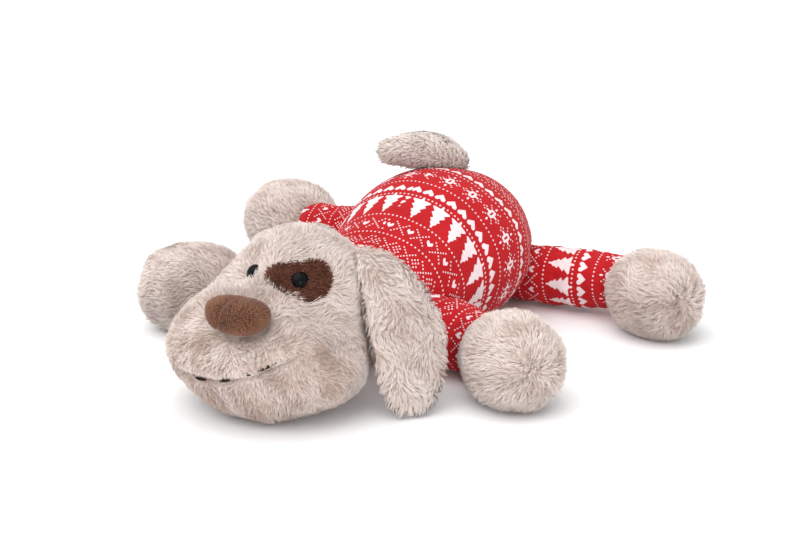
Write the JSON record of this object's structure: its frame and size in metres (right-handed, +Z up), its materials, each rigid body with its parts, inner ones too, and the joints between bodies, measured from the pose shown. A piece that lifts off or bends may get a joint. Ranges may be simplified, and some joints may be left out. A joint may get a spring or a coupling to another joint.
{
  "type": "plush dog",
  "caption": "Floppy stuffed dog lying on its belly, with a printed jersey body, plush head, ears, paws and tail, and limbs that bend at their seams.",
  "frame": {"origin": "the middle of the torso's flat belly, on the plane it lies on", "axes": "+Z up out of the floor the dog lies on, -Y the way the dog faces, +X the dog's left side"},
  "size_m": [0.4931, 0.4505, 0.1634],
  "materials": {
    "plush": "matte",
    "brown_plush": "matte",
    "jersey": "matte",
    "filling": "matte",
    "eye_plastic": "glossy",
    "washer_plastic": "satin",
    "thread": "satin"
  },
  "bodies": {
    "torso": {"torso_cover_back": "jersey", "torso_cover_belly": "jersey", "torso_filling": "filling", "neck_cover": "jersey", "neck_filling": "filling"},
    "head": {"head_side_left": "plush", "head_side_right": "plush", "head_back": "plush", "head_chin": "plush", "head_filling": "filling", "eye_left": "eye_plastic", "eye_right": "eye_plastic", "eye_washer_left": "washer_plastic", "eye_washer_right": "washer_plastic", "eye_patch": "brown_plush", "nose_cover": "brown_plush", "nose_filling": "filling", "mouth_thread": "thread"},
    "ear_left": {"ear_left_outer": "plush", "ear_left_inner": "plush"},
    "ear_right": {"ear_right_outer": "plush", "ear_right_inner": "plush"},
    "limb_front_left": {"sleeve_front_left": "jersey", "sleeve_filling_front_left": "filling"},
    "paw_front_left": {"paw_front_left": "plush", "paw_filling_front_left": "filling"},
    "limb_front_right": {"sleeve_front_right": "jersey", "sleeve_filling_front_right": "filling"},
    "paw_front_right": {"paw_front_right": "plush", "paw_filling_front_right": "filling"},
    "limb_hind_left": {"sleeve_hind_left": "jersey", "sleeve_filling_hind_left": "filling"},
    "paw_hind_left": {"paw_hind_left": "plush", "paw_filling_hind_left": "filling"},
    "limb_hind_right": {"sleeve_hind_right": "jersey", "sleeve_filling_hind_right": "filling"},
    "paw_hind_right": {"paw_hind_right": "plush", "paw_filling_hind_right": "filling"},
    "tail": {"tail_cover": "plush", "tail_filling": "filling"}
  },
  "joints": [
    {"name": "neck_nod", "type": "hinge", "parent": "torso", "child": "head", "pos_m": [0, -0.143, 0.058], "axis": [-1, 0, 0], "range_deg": [0, 28]},
    {"name": "ear_left_lift", "type": "hinge", "parent": "head", "child": "ear_left", "pos_m": [0.046, -0.18, 0.12], "axis": [-0.6, -0.8, 0], "range_deg": [0, 70]},
    {"name": "ear_right_lift", "type": "hinge", "parent": "head", "child": "ear_right", "pos_m": [-0.046, -0.178, 0.119], "axis": [-0.5, 0.866, 0], "range_deg": [0, 70]},
    {"name": "shoulder_left", "type": "hinge", "parent": "torso", "child": "limb_front_left", "pos_m": [0.07, -0.098, 0.028], "axis": [0, 0, 1], "range_deg": [-5, 24]},
    {"name": "shoulder_right", "type": "hinge", "parent": "torso", "child": "limb_front_right", "pos_m": [-0.07, -0.098, 0.028], "axis": [0, 0, -1], "range_deg": [-5, 24]},
    {"name": "hip_left", "type": "hinge", "parent": "torso", "child": "limb_hind_left", "pos_m": [0.063, 0.088, 0.028], "axis": [0, 0, 1], "range_deg": [-1, 30]},
    {"name": "hip_right", "type": "hinge", "parent": "torso", "child": "limb_hind_right", "pos_m": [-0.07, 0.088, 0.033], "axis": [0, 0, -1], "range_deg": [-1, 30]},
    {"name": "wrist_left", "type": "hinge", "parent": "limb_front_left", "child": "paw_front_left", "pos_m": [0.109, -0.109, 0.032], "axis": [-0.5708, -0.8211, 0], "range_deg": [-15, 25]},
    {"name": "wrist_right", "type": "hinge", "parent": "limb_front_right", "child": "paw_front_right", "pos_m": [-0.118, -0.097, 0.032], "axis": [-0.4711, 0.8821, 0], "range_deg": [-15, 25]},
    {"name": "ankle_left", "type": "hinge", "parent": "limb_hind_left", "child": "paw_hind_left", "pos_m": [0.144, 0.092, 0.032], "axis": [-0.4711, -0.8821, 0], "range_deg": [-15, 25]},
    {"name": "ankle_right", "type": "hinge", "parent": "limb_hind_right", "child": "paw_hind_right", "pos_m": [-0.158, 0.08, 0.04], "axis": [0.3401, 0.9404, 0], "range_deg": [-15, 25]},
    {"name": "tail_wag", "type": "hinge", "parent": "torso", "child": "tail", "pos_m": [0, 0.062, 0.134], "axis": [0, 0, 1], "range_deg": [-40, 60]}
  ]
}
